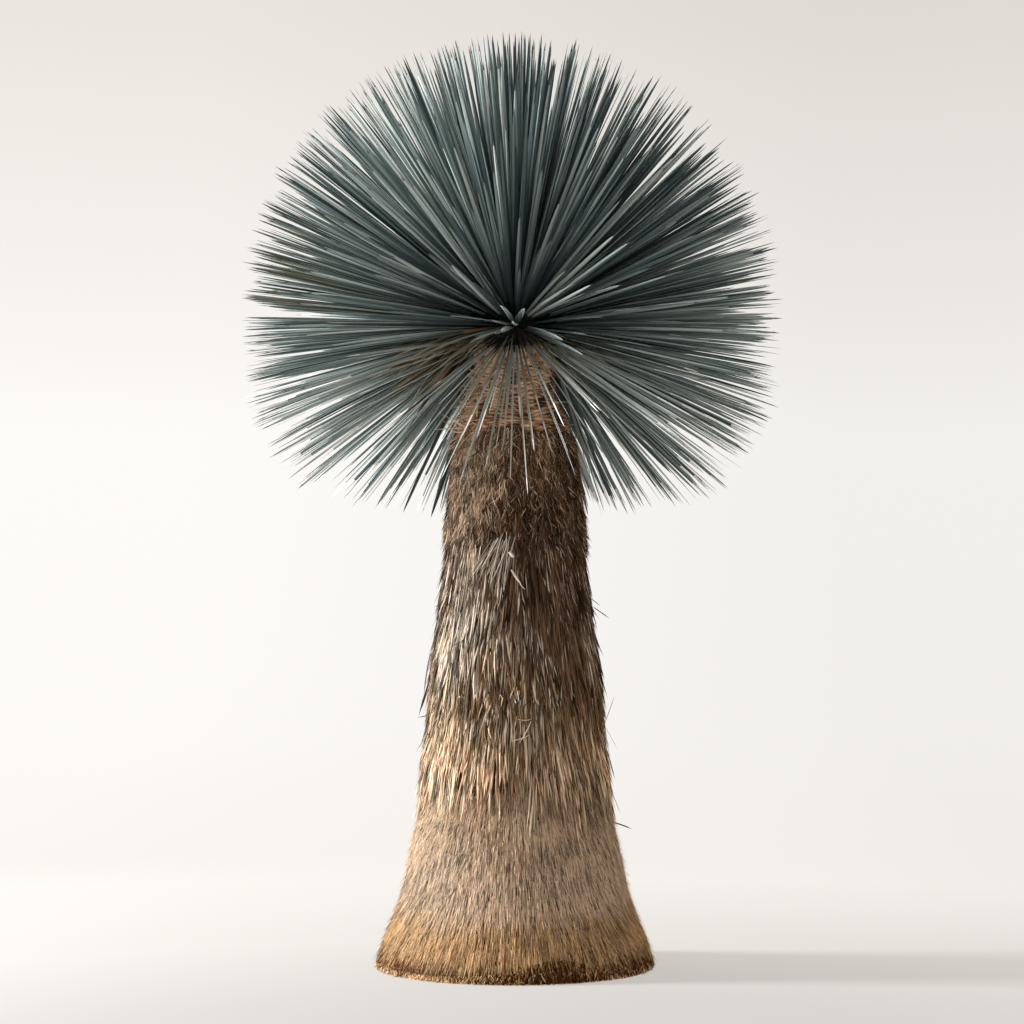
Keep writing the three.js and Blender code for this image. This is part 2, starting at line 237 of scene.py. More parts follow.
# Distance over the floor from the dimmest place, plus height; the light painted into the paper there as its
# glow, and its warmth
STUDIO_GLOW = [
    (0.0, 0.41, 0.08),
    (0.85, 0.46, 0.12),
    (1.8, 0.575, 0.12),
    (2.4, 0.70, 0.10),
    (3.0, 0.81, 0.09),
    (3.7, 0.88, 0.08),
    (5.2, 0.885, 0.07),
    (6.0, 0.885, 0.06),
    (12.2, 0.90, 0.05),
    (14.8, 0.750, 0.11),
]
GLOW_CENTRE = (0, -1.2, 0)
GLOW_SIDES = (1.10, 0.985)  # factors on the left and on the right
GLOW_FRONT = 0.66  # factor on the wall behind the photo's camera
PAPER_SHADE = 0.163
PAPER_FADE = (1.7, 3.7)  # distances between which the paper stops to reflect and only glows
FILL_COLOUR = (1, 0.99, 0.975, 1)
FILL_LEVEL = 0.54
KEY_PLACE = (-5.6, 0.1, 3.4)
KEY_TARGET = (0, 0, 0.9)
KEY_SIZE = 1.1
KEY_POWER = 930
CAMERA_PLACE = (-0.0066, -7.4, 1.0)
CAMERA_LENS = 118.2


def linear(colour, shade=1.0):
    """A screen colour as a linear one with alpha, made lighter or darker but never whiter than paper."""
    levels = [(c / 255) ** 2.2 for c in colour]
    shade = min(shade, WHITEST / max(levels))
    return tuple(shade * level for level in levels) + (1.0,)


def smoothstep(values, low, high):
    """0 below a range, 1 above it and a smooth step between."""
    t = np.clip((values - low) / (high - low), 0, 1)
    return t * t * (3 - 2 * t)


def hump(values, middle, width):
    """A smooth hump of height 1 round a middle."""
    return np.exp(-(((values - middle) / width) ** 2))


def chance(first, second, salt):
    """A fixed random number from 0 to 1 for each pair of whole numbers, by the rule of the solids."""
    wave = np.sin(first * 12.9898 + second * 78.233 + salt * 37.719) * 43758.5453
    return wave - np.floor(wave)


def ripple(azimuth, z, wavelength, seed):
    """A smooth wandering from about -1 to 1 over the trunk, the same all the way round."""
    rng = np.random.default_rng(seed)
    total = 0
    for turns, rate, phase in zip(rng.integers(-7, 8, 9), rng.normal(0, 1, 9), rng.uniform(0, TAU, 9)):
        total = total + np.sin(turns * azimuth + rate * TAU * z / wavelength + phase)
    return total / 4.5


def thatch_radius(z):
    """Outline of the thatch, with the root flare and the shoulder under the neck."""
    taper = FOOT_RADIUS + (SHOULDER_RADIUS - FOOT_RADIUS) * np.minimum(z / SHOULDER_Z, 1)
    shoulder = np.maximum(0, (z - SHOULDER_Z) / (NECK_TOP_Z - SHOULDER_Z))
    drawn_in = (SHOULDER_RADIUS - NECK_RADIUS) * np.minimum(1, 1.9 * shoulder**1.4)
    return taper + FLARE * hump(z, 0, FLARE_HEIGHT) - drawn_in


def tier_radius(tier, z):
    """Outline of one tier: proud at its hem, tucked in at its top."""
    share = np.clip((z - tier["hem"]) / (tier["top"] - tier["hem"]), 0, 1)
    tuck = 0 if tier is THATCH_TIERS[-1] else TOP_TUCK
    return thatch_radius(z) + HEM_PROUD - (HEM_PROUD + tuck) * share + tier["swell"] * hump(z, 0.25, 0.10)


def head_outline(angle, offset):
    """Radius and height on the head for a leaf angle in degrees and a distance outside the trunk."""
    turn = np.minimum(angle / DOME_ANGLE, 1) * (math.pi / 2)
    down = np.maximum(0, (angle - DOME_ANGLE) / (SKIRT_END - DOME_ANGLE))
    radius = (HEAD_RADIUS + offset) * np.sin(turn)
    z = HEAD_BASE_Z + (HEAD_HEIGHT + offset) * np.cos(turn) - (COLLAR_LENGTH + COLLAR_SLANT * offset) * down
    return radius, z


def crown_reach(angle):
    """How far the crown reaches from the leaf focus, in the direction of a leaf angle in degrees."""
    rise = CROWN_CENTRE_Z - LEAF_FOCUS_Z
    along = rise * np.cos(np.radians(angle))
    sphere = along + np.sqrt(along**2 + CROWN_RADIUS**2 - rise**2)
    return sphere - SKIRT_SHORTFALL * smoothstep(angle, SKIRT_SHORT_FROM, SKIRT_SHORT_TO)


def around(radius, azimuth, z):
    """Points at radii, azimuths in radians from +X, and heights."""
    return np.stack([radius * np.cos(azimuth), radius * np.sin(azimuth), z + 0 * radius], axis=-1)


def out_and_along(azimuth):
    """Unit vectors straight out from the trunk, and level along its surface, at azimuths."""
    ones = np.ones(len(azimuth))
    return around(ones, azimuth, 0), around(ones, azimuth + math.pi / 2, 0)


def headings(angle, azimuth):
    """Unit vectors at leaf angles in degrees and azimuths in radians."""
    slant = np.radians(angle)
    return around(np.sin(slant), azimuth, np.cos(slant))


def from_front(azimuth):
    """How far azimuths are from the front, from -pi to pi and negative on the left."""
    return (azimuth - FRONT + math.pi) % TAU - math.pi


def unit(vectors):
    """Vectors brought to length 1."""
    return vectors / np.linalg.norm(vectors, axis=-1, keepdims=True)


def ring_quads(rows, sides):
    """The corners of every face between rings of points, when the rings follow each other."""
    first = (np.arange(rows - 1) * sides)[:, None]
    here = first + np.arange(sides)
    ahead = first + (np.arange(sides) + 1) % sides
    return np.stack([here, ahead, ahead + sides, here + sides], axis=-1).reshape(-1, 4)


def blades(lines, side, up, half_width, thickness, section):
    """Corners and faces of many closed blades: rings along each line, a flat root and a pointed tip.

    lines is (blades, stations + 1, 3), side and up are (blades, stations, 3), and the widths are
    (blades, stations). Returns the corners and three groups of faces: sides, tips and roots.
    """
    count, stations = half_width.shape
    corners = len(section)
    across = (section[:, 0] * half_width[..., None])[..., None] * side[:, :, None, :]
    over = (section[:, 1] * thickness[..., None])[..., None] * up[:, :, None, :]
    rings = lines[:, :-1, None, :] + across + over
    points = np.concatenate([rings.reshape(count, -1, 3), lines[:, -1:, :]], axis=1)
    first = np.arange(count)[:, None, None] * points.shape[1]
    here = np.arange(corners)
    last = (stations - 1) * corners
    tips = np.stack([last + here, last + (here + 1) % corners, np.full(corners, last + corners)], axis=-1)
    roots = here[::-1][None, :]
    faces = [first + part for part in (ring_quads(stations, corners), tips, roots)]
    return points.reshape(-1, 3), faces


def strips(lines, tilt, half_width):
    """Corners and faces of dry strips that lie with their flat side to the trunk, but for a tilt."""
    ahead = unit(np.diff(lines, axis=1))
    outward = unit(lines[:, :-1, :] * np.array([1, 1, 0]))
    side = np.cross(outward, ahead) + tilt[:, None, None] * outward
    up = unit(np.cross(ahead, side))
    side = np.cross(up, ahead)
    points, faces = blades(lines, side, up, half_width, STRIP_FLATNESS * half_width, STRIP_SECTION)
    points[:, 2] = np.maximum(points[:, 2], 0.001)
    return points, faces


def strip_widths(width, stations):
    """Half widths along strips: a little narrower at the root, then tapering."""
    return width[:, None] * (0.75 + 0.5 * np.sqrt(stations) - 0.55 * stations**2)[None, :]


def new_mesh(name, points, faces, tints, materials):
    """A mesh from corners, groups of faces and a material number for each face of each group."""
    groups = [group.reshape(-1, group.shape[-1]) for group in faces]
    sizes = np.concatenate([np.full(len(group), group.shape[1]) for group in groups])
    corners = np.concatenate([group.ravel() for group in groups])
    starts = np.concatenate([[0], np.cumsum(sizes)[:-1]])
    numbers = np.concatenate([part.ravel() for part in tints])
    mesh = bpy.data.meshes.new(name)
    mesh.vertices.add(len(points))
    mesh.vertices.foreach_set("co", points.astype(np.float32).ravel())
    mesh.loops.add(len(corners))
    mesh.loops.foreach_set("vertex_index", corners.astype(np.int32))
    mesh.polygons.add(len(sizes))
    mesh.polygons.foreach_set("loop_start", starts.astype(np.int32))
    for material in materials:
        mesh.materials.append(material)
    mesh.polygons.foreach_set("material_index", numbers.astype(np.int32))
    mesh.update(calc_edges=True)
    mesh.validate()
    return mesh


def add_object(name, data):
    """Puts a mesh, a light or a camera into the scene."""
    added = bpy.data.objects.new(name, data)
    bpy.context.scene.collection.objects.link(added)
    return added


def add_piece(mesh, nodes=()):
    """Adds a mesh as a piece that rides on the plant and stands for these solids."""
    piece = add_object(mesh.name, mesh)
    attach(piece, "root")
    if nodes:
        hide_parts(*nodes)


def add_strips(name, lines, tilt, half_width, tint, materials, nodes=()):
    """Adds a piece of dry strips, each of one tint."""
    points, faces = strips(lines, tilt, half_width)
    tints = [np.repeat(tint[:, None], part.shape[1], axis=1) for part in faces]
    mesh = new_mesh(name, points, faces, tints, materials)
    mesh.shade_flat()
    add_piece(mesh, nodes)


def set_inputs(tree, node, inputs):
    """Gives a node's inputs, by name or number, their values or their links from other nodes."""
    for key, value in inputs.items():
        if isinstance(value, bpy.types.NodeSocket):
            tree.links.new(value, node.inputs[key])
        else:
            node.inputs[key].default_value = value


def new_node(tree, kind, inputs, output, operation=None):
    """The output of a new shader node, once its operation and its inputs are set."""
    node = tree.nodes.new(f"ShaderNode{kind}")
    if operation:
        node.operation = operation
    set_inputs(tree, node, inputs)
    return node.outputs[output]


def ranged(tree, value, low_high, to_low_high):
    """A value mapped from one range to another."""
    inputs = {"Value": value}
    inputs["From Min"], inputs["From Max"] = low_high
    inputs["To Min"], inputs["To Max"] = to_low_high
    return new_node(tree, "MapRange", inputs, "Result")


def ramped(tree, value, steps):
    """A value turned into a colour, by steps of rising position with linear colours."""
    node = tree.nodes.new("ShaderNodeValToRGB")
    elements = node.color_ramp.elements
    while len(elements) < len(steps):
        elements.new(1.0)
    for element, (position, colour) in zip(elements, steps):
        element.position = position
        element.color = colour
    set_inputs(tree, node, {"Fac": value})
    return node.outputs["Color"]


def relief(tree, height, strength, distance):
    """Fine relief, for a shader's normal."""
    return new_node(tree, "Bump", {"Height": height, "Strength": strength, "Distance": distance}, "Normal")


def blank_material(name):
    """A new material, its nodes and its shader."""
    material = bpy.data.materials.new(name)
    material.use_nodes = True
    return material, material.node_tree, material.node_tree.nodes["Principled BSDF"]


def new_material(name, colour, roughness, specular, bump_scale, bump_strength):
    """A material of a plain colour, with its roughness and fine relief from noise."""
    material, tree, shader = blank_material(name)
    place = new_node(tree, "TexCoord", {}, "Object")
    noise = new_node(tree, "TexNoise", {"Vector": place, "Scale": bump_scale, "Detail": 1}, "Fac")
    gloss = ranged(tree, noise, (0, 1), (roughness - 0.12, roughness + 0.12))
    normal = relief(tree, noise, bump_strength, 0.001)
    set_inputs(tree, shader, {"Base Color": colour, "Specular IOR Level": specular})
    set_inputs(tree, shader, {"Roughness": gloss, "Normal": normal})
    return material


def leaf_materials():
    """The blades' blue-green tints, then olive, dry grey, the pale margin, the dark tip and the pale tip,
    partly bleached and partly painted light.
    """
    colours = LEAF_TINTS + [LEAF_OLIVE, LEAF_DRY, LEAF_MARGIN, LEAF_TIP, LEAF_TIP_PALE]
    return [new_material(f"leaf_{n}", linear(colour), **LEAF_FINISH) for n, colour in enumerate(colours)]


def thatch_materials():
    """Dry strips from dark to light, weathered and fresh, for each zone up the trunk; weathered and fresh
    also serve as painted light and painted shade.
    """
    return [
        new_material(f"thatch_{zone}_{age_and_light}_{shade}", linear(colour, factor), **THATCH_FINISH)
        for zone, (_, *colours) in ZONES.items()
        for age_and_light, colour in zip(("weathered", "fresh"), colours)
        for shade, factor in enumerate(SHADES)
    ]


def covers_neck(root, tip):
    """True for each leaf that passes before the bare neck or its shoulder."""
    covers = np.zeros(len(root), bool)
    for z in NECK_LEVELS:
        share = (root[:, 2] - z) / np.maximum(root[:, 2] - tip[:, 2], 0.001)
        place = root + (tip - root) * share[:, None]
        passes = (share > 0) & (share < 1) & (place[:, 1] < 0)
        left, right = -thatch_radius(z) - NECK_MARGINS[0], thatch_radius(z) + NECK_MARGINS[1]
        covers |= passes & (place[:, 0] > left) & (place[:, 0] < right)
    return covers


def in_side_windows(root, tip, rng):
    """True for most leaves that would hide the dead ones beside the neck."""
    hides = np.zeros(len(root), bool)
    for x, low, high, share_left in SIDE_WINDOWS:
        run = tip[:, 0] - root[:, 0]
        share = (x - root[:, 0]) / np.where(np.abs(run) < 0.001, 0.001, run)
        place = root + (tip - root) * share[:, None]
        passes = (share > 0) & (share < 1) & (place[:, 1] < -0.12)
        passes &= (place[:, 2] > low) & (place[:, 2] < high)
        hides |= passes & (rng.random(len(root)) > share_left)
    return hides


def leaf_shares(angle, azimuth):
    """The share of leaves that grows at each angle and azimuth."""
    heading = headings(angle, azimuth)
    frontal = -heading[:, 1]
    share = 1 - (1 - FRONT_SHARE) * smoothstep(frontal, 0.60, 0.92)
    lower_front = smoothstep(frontal, 0.2, 0.5) * smoothstep(angle, 95, 108)
    share = share * (1 - (1 - LOWER_FRONT_SHARE) * lower_front)
    share = share - (1 - SKIRT_SHARE) * smoothstep(angle, 138, SKIRT_END)
    return share * (1 - (1 - OPEN_SHARE) * smoothstep(heading @ np.array(OPEN_HEADING), 0.75, 0.95))


def leaf_places(smallest, largest, step, rng):
    """Angle in degrees and azimuth in radians of every leaf between two angles."""
    rows = round((largest - smallest) / step)
    step = (largest - smallest) / rows
    angles, azimuths = [], []
    for row in range(rows):
        row_angle = smallest + step * (row + 0.5)
        per_sector = max(1, round(360 * math.sin(math.radians(row_angle)) / step / SECTORS))
        count = per_sector * SECTORS
        places = np.arange(count) + 0.5 * (row % 2) + rng.uniform(-0.4, 0.4, count)
        angles.append(row_angle + step * rng.uniform(-0.5, 0.5, count))
        azimuths.append(TAU * places / count)
    angle, azimuth = np.concatenate(angles), np.concatenate(azimuths)
    kept = rng.random(len(angle)) < leaf_shares(angle, azimuth)
    angle, azimuth = angle[kept], azimuth[kept]
    return bunched(angle, azimuth + 0.028 * np.sin(13 * azimuth + 0.21 * angle))


def bunched(angle, azimuth):
    """Leaf angles and azimuths, drawn together so that sky shows between bunches when seen from the front."""
    x, y, z = headings(angle, azimuth).T
    turn = np.arctan2(x, z)
    shift = BUNCHING * (0.3 + 0.7 * np.abs(np.sin(turn)))
    turn = turn + shift * (np.sin(41 * turn) + 0.8 * np.sin(67 * turn + 1))
    reach = np.hypot(x, z)
    x, z = reach * np.sin(turn), reach * np.cos(turn)
    return np.degrees(np.arccos(np.clip(z, -1, 1))), np.arctan2(y, x)


def leaf_ends(angle, azimuth, rng):
    """Roots of leaves on the head, and their tips at the crown's outline."""
    lower = smoothstep(angle, 92, 110) * (1 - smoothstep(angle, 128, 140))
    share = LEAF_LONGEST - LEAF_SHORTFALL * rng.random(len(angle)) ** 1.5 + LEAF_LOWER_EXTRA * lower
    reach = crown_reach(angle) * share
    root_radius, root_z = head_outline(angle, LEAF_ROOT_OFFSET)
    slant = np.radians(angle)
    tip = around(reach * np.sin(slant), azimuth, LEAF_FOCUS_Z + reach * np.cos(slant))
    tip[:, 0] += CROWN_LEAN
    return around(root_radius, azimuth, root_z), tip


def blade_lines(root, chord, sideways, upward, rng):
    """Middle lines of blades, from their roots along chords, bowed upward and swung sideways a little."""
    length = np.linalg.norm(chord, axis=1)[:, None, None]
    t = np.append(LEAF_STATIONS, 1.0)[None, :, None]
    bow = rng.uniform(-0.01, 0.04, len(root))[:, None, None] * length
    swing = rng.uniform(-0.015, 0.015, len(root))[:, None, None] * length
    lines = root[:, None, :] + chord[:, None, :] * t
    return lines + (t - t * t) * (bow * upward[:, None, :] + swing * sideways[:, None, :])


def blade_colours(tints, pale):
    """Material numbers on the blades' sides, tips and roots, with pale margins, a base in painted shade and a
    dark end or a pale one, partly bleached and partly painted light.
    """
    rings = len(LEAF_STATIONS) - 1
    on_sides = np.full((len(tints), rings, len(LEAF_SECTION)), MARGIN)
    on_sides[:, :, [1, 5]] = tints[:, 0, None, None]
    on_sides[:, :, [2, 4]] = tints[:, 1, None, None]
    # The ring at each blade's base takes the darkest tint: painted shade at the heart of the crown
    on_sides[:, 0, :] = 0
    rings_to_end = np.arange(rings)[::-1][None, :, None]
    on_sides = np.where(rings_to_end < pale[:, None, None], TIP_PALE, on_sides)
    ends = np.where(pale > 0, TIP_PALE, TIP)
    return [on_sides, np.repeat(ends[:, None], len(LEAF_SECTION), axis=1), tints[:, :1]]


def add_blades(name, root, tip, width, tints, pale, rng, materials, nodes=()):
    """Adds a piece of keeled blades, with a tint for each half and a number of pale rings at the end, partly
    bleached and partly painted light.
    """
    count = len(root)
    chord = tip - root
    sideways = around(np.ones(count), np.arctan2(chord[:, 1], chord[:, 0]) + math.pi / 2, 0)
    upward = np.cross(unit(chord), sideways)
    lines = blade_lines(root, chord, sideways, upward, rng)
    roll = rng.normal(0, 0.5, count)[:, None] + rng.normal(0, 0.4, count)[:, None] * LEAF_STATIONS[None, :]
    cos, sin = np.cos(roll)[..., None], np.sin(roll)[..., None]
    side = cos * sideways[:, None, :] + sin * upward[:, None, :]
    up = cos * upward[:, None, :] - sin * sideways[:, None, :]
    half_width = width[:, None] * LEAF_WIDTHS[None, :]
    points, faces = blades(lines, side, up, half_width, LEAF_GUTTER * half_width, LEAF_SECTION)
    mesh = new_mesh(name, points, faces, blade_colours(tints, pale), materials)
    mesh.shade_flat()
    add_piece(mesh, nodes)


def leaf_tints(heading, rng):
    """Two tints for each blade, one for each half, at random but for painted light and shade: paler where
    leaves point towards the light or far to the right, darker where they point up or to the front.
    """
    count = len(heading)
    first = rng.choice(len(LEAF_TINTS), count, p=LEAF_TINT_SHARES)
    # Painted light: paler tints for leaves that point towards the light, and for those that point far to the
    # right
    bloom_and_light = 0.20 - 0.12 * smoothstep(-heading[:, 0], 0.6, 0.9)
    bloom_and_light = bloom_and_light + 0.65 * smoothstep(heading @ np.array(LIT_HEADING), 0.70, 0.96)
    bloom_and_light = bloom_and_light + 0.45 * smoothstep(heading[:, 0], 0.70, 0.95)
    # Painted shade: darker tints for leaves that point up, or to the front but not to the left
    shade = smoothstep(heading @ np.array(SHADE_HEADING), 0.80, 0.95)
    frontal = smoothstep(-heading[:, 1], 0.45, 0.80) * (1 - smoothstep(-heading[:, 0], 0.0, 0.35))
    shade = np.maximum(shade, 0.65 * frontal)
    first = first + (rng.random(count) < bloom_and_light) - rng.binomial(2, 0.8 * shade)
    contrast = np.where(heading[:, 0] > 0, 3.4, 2.4)
    second = first + np.rint(contrast * rng.uniform(-1, 1, count)).astype(int)
    return np.clip(np.stack([first, second], axis=-1), 0, len(LEAF_TINTS) - 1)


def make_leaves(number, band, smallest, largest, step, materials):
    """One band of the crown: stiff, keeled blades from the head to the crown's outline."""
    rng = np.random.default_rng(100 + number)
    angle, azimuth = leaf_places(smallest, largest, step, rng)
    root, tip = leaf_ends(angle, azimuth, rng)
    clear = ~covers_neck(root, tip) & ~in_side_windows(root, tip, rng)
    angle, root, tip = angle[clear], root[clear], tip[clear]
    count = len(angle)
    old = rng.random(count) < OLD_SHARE * smoothstep(angle, 92, 122)
    width = LEAF_HALF_WIDTH * rng.uniform(0.75, 1.2, count) * np.where(old, 0.55, 1.0)
    heading = unit(tip - root)
    tints = leaf_tints(heading, rng)
    tints[old] = rng.integers(len(LEAF_TINTS) - 2, len(LEAF_TINTS), (old.sum(), 2))
    olive = (heading @ unit(np.array(OLIVE_HEADING)) > 0.97) & (rng.random(count) < 0.5)
    tints[olive] = OLIVE
    # Old leaves end bleached; lower leaves often get a pale end too, painted light where they catch the light
    pale = np.where(old, 2, rng.random(count) < 0.6 * smoothstep(angle, 95, 125))
    nodes = ["leaves_spear"] if number == 0 else [f"leaves_{band}_{s + 1}" for s in range(SECTORS)]
    add_blades(f"leaf_blades_{band}", root, tip, width, tints, pale, rng, materials, nodes)


def make_hanging_leaves(materials):
    """Narrow, pale leaves that point forward and down, in a loose fan before and beside the neck: partly dry
    and bleached, partly painted light.
    """
    rng = np.random.default_rng(121)
    count = HANGING_LEAVES
    fan = np.radians(np.linspace(-80, 76, count) + rng.uniform(-2.5, 2.5, count))
    beside = smoothstep(np.abs(fan), 0.6, 1.2)
    length = rng.uniform(0.42, 0.50, count)
    down = rng.uniform(0.18, 0.35, count) + 0.10 * beside
    forward = np.sqrt(length**2 - down**2)
    root_radius, root_z = head_outline(np.full(count, 112.0), LEAF_ROOT_OFFSET)
    root = around(root_radius, FRONT + 0.4 * fan, root_z)
    tip = root + np.stack([down * np.sin(fan), -forward, -down * np.cos(fan)], axis=-1)
    width = rng.uniform(0.0015, 0.0030, count)
    tints = rng.choice([3, 4, 5, DRY], (count, 2), p=[0.15, 0.25, 0.15, 0.45])
    add_blades("leaf_blades_hanging", root, tip, width, tints, rng.integers(0, 3, count), rng, materials)


def make_facing_leaves(materials):
    """The few leaves that point straight to the front, seen end-on, in the palest tint with a pale end:
    partly their own pale colour and partly painted light under the crown.
    """
    rng = np.random.default_rng(122)
    count = len(FACING_TIPS)
    tip = np.array([(x, -FACING_REACH, z) for x, z in FACING_TIPS])
    focus = np.array([0, 0, LEAF_FOCUS_Z])
    root = focus + 0.17 * (tip - focus)
    tints = np.full((count, 2), len(LEAF_TINTS) - 1)
    width = np.full(count, 1.3 * LEAF_HALF_WIDTH)
    add_blades("leaf_blades_facing", root, tip, width, tints, np.ones(count, int), rng, materials)


def tint_numbers(zone, fresh, tone):
    """Material numbers for zones, for fresh strips or weathered ones, a pair also used as painted shade and
    painted light, and for tones from dark, -2, to light, 2.
    """
    return (2 * zone + fresh) * len(SHADES) + np.digitize(tone, SHADE_EDGES)


def fresh_and_shade_shares(azimuth, z):
    """The share of fresh, darker strips: partly at random and partly painted light and shade, less on the
    left, more in the middle of the front and low on the right.
    """
    off_front = from_front(azimuth)
    share = 0.68 + 0.20 * ripple(azimuth, z, 0.3, 33)
    # Painted light: fewer fresh strips on the lit left; painted shade: more in the middle of the front and
    # low on the right
    share = share - 0.52 * hump(off_front, -0.90, 0.50)
    share = share + 0.17 * hump(off_front, 0, 0.45)
    low = 1 - smoothstep(z, 0.93, 1.03)
    share = share + 0.20 * low * hump(off_front, 0.85, 0.50)
    return np.clip(share, 0.04, 0.90)


def zone_tints(zones, z, azimuth, tone, rng):
    """The material number of each strip of some zones, by its height and tone; the zones run together."""
    numbers = np.array([ZONE[name] for name in zones])
    middles = np.array([ZONES[name][0] for name in zones])
    scatter = rng.normal(0, 1, len(z)) * (0.010 + 0.11 * np.minimum(z, 0.4))
    height = z + 0.02 * ripple(azimuth, z, 0.4, 31) + scatter
    zone = numbers[np.abs(height[:, None] - middles[None, :]).argmin(axis=1)]
    # The fresh strips here are partly painted shade, placed by where they lie around the trunk
    fresh = rng.random(len(z)) < fresh_and_shade_shares(azimuth, z)
    in_patch = hump(azimuth, GREY_PATCH["azimuth"] % TAU, GREY_PATCH["wide"])
    in_patch = in_patch * hump(z, GREY_PATCH["z"], GREY_PATCH["high"])
    grey = rng.random(len(z)) < 0.8 * in_patch
    zone = np.where(grey, ZONE["buff"], zone)
    return tint_numbers(zone, fresh & ~grey, tone)


def hanging_lines(tier, azimuth, end_azimuth, root_z, end_z, lift, curl, rng):
    """Lines of strips that hang on a tier, from roots tucked under its face to ends that lift off it."""
    t = np.append(tier["stations"], 1.0)[None, :]
    z = root_z[:, None] + (end_z - root_z)[:, None] * t
    radius = tier_radius(tier, z)
    turn = azimuth[:, None] + (end_azimuth - azimuth)[:, None] * t**1.3 + curl[:, None] * (t - t * t) / radius
    depth = rng.uniform(-0.009, 0.0, len(azimuth))[:, None]
    return around(radius + depth * (1 - t) + lift[:, None] * t**2 - 0.003, turn, z)


def strip_places(tier, number, rng):
    """Lengths and azimuths of a tier's strips, and the heights of their roots and ends."""
    count = tier["count"]
    length = tier["length"] * rng.uniform(0.5, 1.4, count)
    azimuth = rng.uniform(0, TAU, count)
    wander = ripple(azimuth, 0, 1, 90 + number) - np.cos(azimuth)
    hem = tier["hem"] - tier["ragged"] * rng.random(count) ** 2 + tier["wander"] * wander
    end_z = hem + (tier["top"] - 0.02 - hem) * rng.random(count)
    top = tier["top"] + 0.014 * ripple(azimuth, 0, 1, 80 + number) + 0.014 * rng.random(count)
    return length, azimuth, np.minimum(end_z + length, top), end_z


def strip_locks(tier, number, azimuth, end_z, rng):
    """How far strips lean, are drawn to the middle of their lock and lift, and their tone."""
    count = tier["count"]
    lock_width, lock_rise = tier["lock"]
    clump = tier["clump"]
    row = np.floor(end_z / lock_rise)
    place = azimuth * tier_radius(tier, (row + 0.5) * lock_rise) / lock_width + 9 * chance(row, number, 1)
    column = np.floor(place)
    to_middle = (column + 0.5 - place) * lock_width
    lean = 0.5 * rng.normal(0, 1, count) + clump * (2 * chance(row, column, 2) - 1)
    lean = np.radians(tier["spread"]) * (lean + 0.6 * ripple(azimuth, end_z, 0.25, 40 + number))
    lift = tier["lift"] * (rng.gamma(1.6, 0.4, count) + 1.2 * clump * chance(row, column, 3) ** 3)
    lift = lift + tier["fuzz"] * rng.random(count) ** 12
    tone = 0.75 * rng.normal(0, 1, count) + 2.2 * clump * (chance(row, column, 4) - 0.5)
    tone = tone + 0.4 * ripple(azimuth, end_z, 0.12, 70 + number)
    tone = tone + 0.4 * ripple(16 * azimuth, end_z, 0.5, 75 + number)
    tone = tier["contrast"] * tone - SUN_SIDE_DARKER * hump(from_front(azimuth), -1.9, 0.55)
    return lean, 0.35 * clump * to_middle, lift, tone


def make_thatch(tier, number, materials, pits):
    """One tier of thatch: strips that hang in locks from under the tier above, down to a ragged hem."""
    rng = np.random.default_rng(200 + number)
    length, azimuth, root_z, end_z = strip_places(tier, number, rng)
    lean, drawn, lift, tone = strip_locks(tier, number, azimuth, end_z, rng)
    end_azimuth = azimuth + (np.tan(lean) * length + drawn) / tier_radius(tier, end_z)
    curl = 4 * tier["curl"] * rng.normal(0, 1, len(azimuth))
    lines = hanging_lines(tier, azimuth, end_azimuth, root_z, end_z, lift, curl, rng)
    tilt = rng.normal(0, 0.6, len(azimuth))
    width = tier["half_width"] * rng.uniform(0.5, 1.5, len(azimuth))
    half_width = strip_widths(width, tier["stations"])
    tint = zone_tints(tier["zones"], end_z, azimuth, tone, rng)
    kept = np.flatnonzero(clear_of_pits(lines[:, -2, :], pits))
    for part, some in enumerate(np.array_split(kept, tier["pieces"])):
        name = f"{tier['name']}_strips_{part + 1}"
        add_strips(name, lines[some], tilt[some], half_width[some], tint[some], materials, [tier["name"]])


def clear_of_pits(points, pits):
    """True for each point that lies outside every pit."""
    kept = np.ones(len(points), bool)
    for pit in pits:
        kept &= np.linalg.norm(points - pit, axis=1) > PIT_RADIUS
    return kept


def thatch_pits():
    """Places of the small dark holes in the thatch."""
    rng = np.random.default_rng(61)
    z = 0.05 + 0.85 * rng.random(PITS) ** 1.5
    return around(thatch_radius(z), rng.uniform(0, TAU, PITS), z)


def bark_material():
    """The stem under the thatch, dark and fibrous, and the neck, orange-brown and ringed with leaf scars; the
    dark stem also stands for painted shade in the gaps between strips, and its paleness carries painted light
    and painted shade.
    """
    material, tree, shader = blank_material("bark")
    place = new_node(tree, "TexCoord", {}, "Object")
    stretched = new_node(tree, "Mapping", {"Vector": place, "Scale": BARK_STRETCH}, "Vector")
    grain = new_node(tree, "TexNoise", {"Vector": stretched, "Scale": 1.0, "Detail": 6}, "Fac")
    pale = tree.nodes.new("ShaderNodeAttribute")
    pale.attribute_name = "paleness_and_shade"
    tone = new_node(tree, "Math", {0: pale.outputs["Fac"], 1: 0.6, 2: grain}, "Value", "MULTIPLY_ADD")
    colour = ramped(tree, tone, [(position, linear(shown)) for position, shown in BARK_TONES])
    normal = relief(tree, grain, 0.6, 0.002)
    set_inputs(tree, shader, {"Base Color": colour, "Roughness": 0.85, "Normal": normal})
    return material


def trunk_rows():
    """Radius and height of each row of the trunk's mesh, from the flat cut to the growing tip."""
    bed_z = np.linspace(0.001, 1.150, BED_ROWS)
    neck_z = np.linspace(1.154, NECK_TOP_Z, NECK_ROWS)
    head_radius, head_z = head_outline(np.linspace(SKIRT_END, 2, HEAD_ROWS), 0.004)
    radius = np.concatenate([thatch_radius(bed_z), thatch_radius(neck_z), head_radius])
    return radius, np.concatenate([bed_z, neck_z, head_z])


